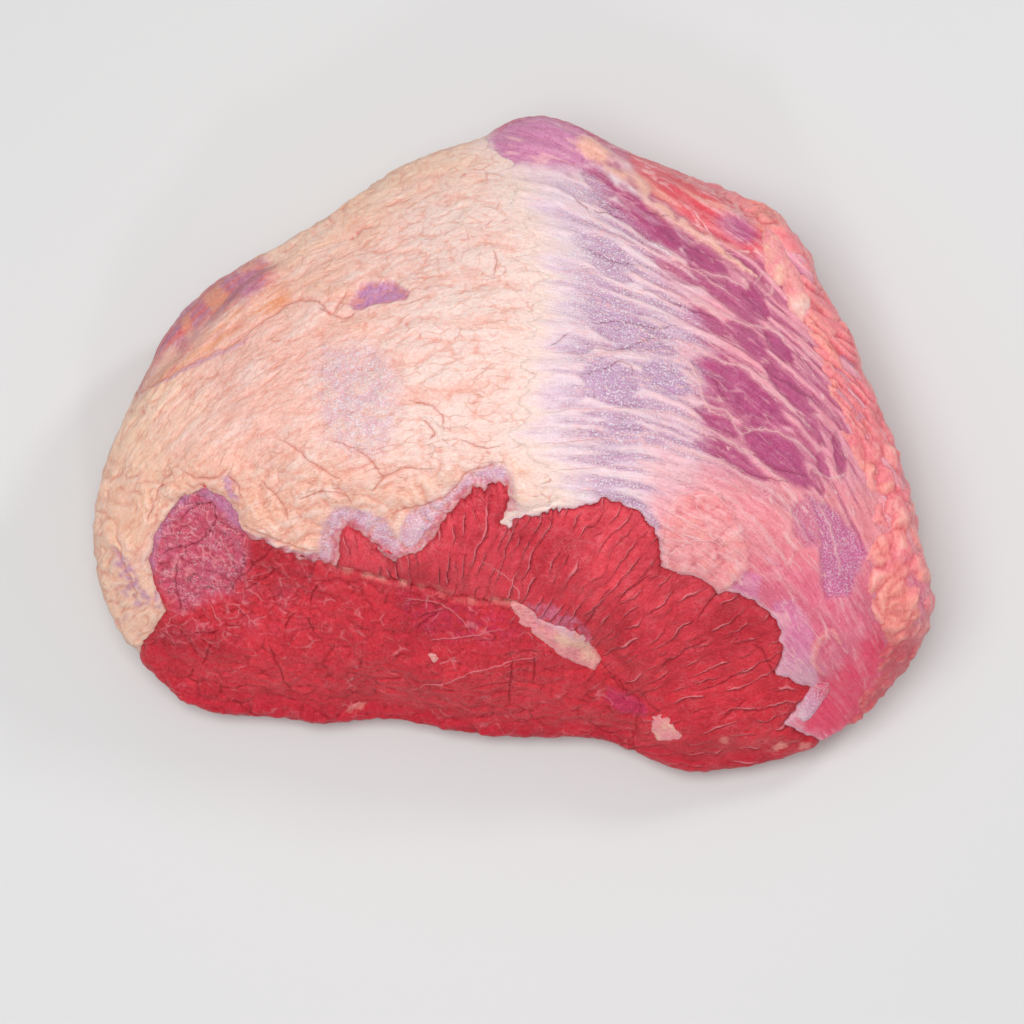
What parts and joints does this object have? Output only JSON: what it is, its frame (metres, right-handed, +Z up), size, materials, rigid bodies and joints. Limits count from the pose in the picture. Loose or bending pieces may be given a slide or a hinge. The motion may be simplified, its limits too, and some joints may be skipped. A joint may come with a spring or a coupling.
{
  "type": "raw beef topside joint",
  "caption": "Boneless raw beef joint lying on its flat underside, with a fat cover and silverskin over the top and a bare red cut face sloping down to the front.",
  "frame": {"origin": "middle of the underside, on the surface that the joint lies on", "axes": "+X to the right as the cut face is seen from the front, +Y to the back, away from the cut face, +Z up"},
  "size_m": [0.2814, 0.223, 0.0963],
  "materials": {
    "lean": "moist, fine-fibred",
    "fat": "waxy, faintly wet",
    "silverskin": "wet translucent membrane"
  },
  "bodies": {
    "root": {"topside": "lean"}
  },
  "joints": []
}
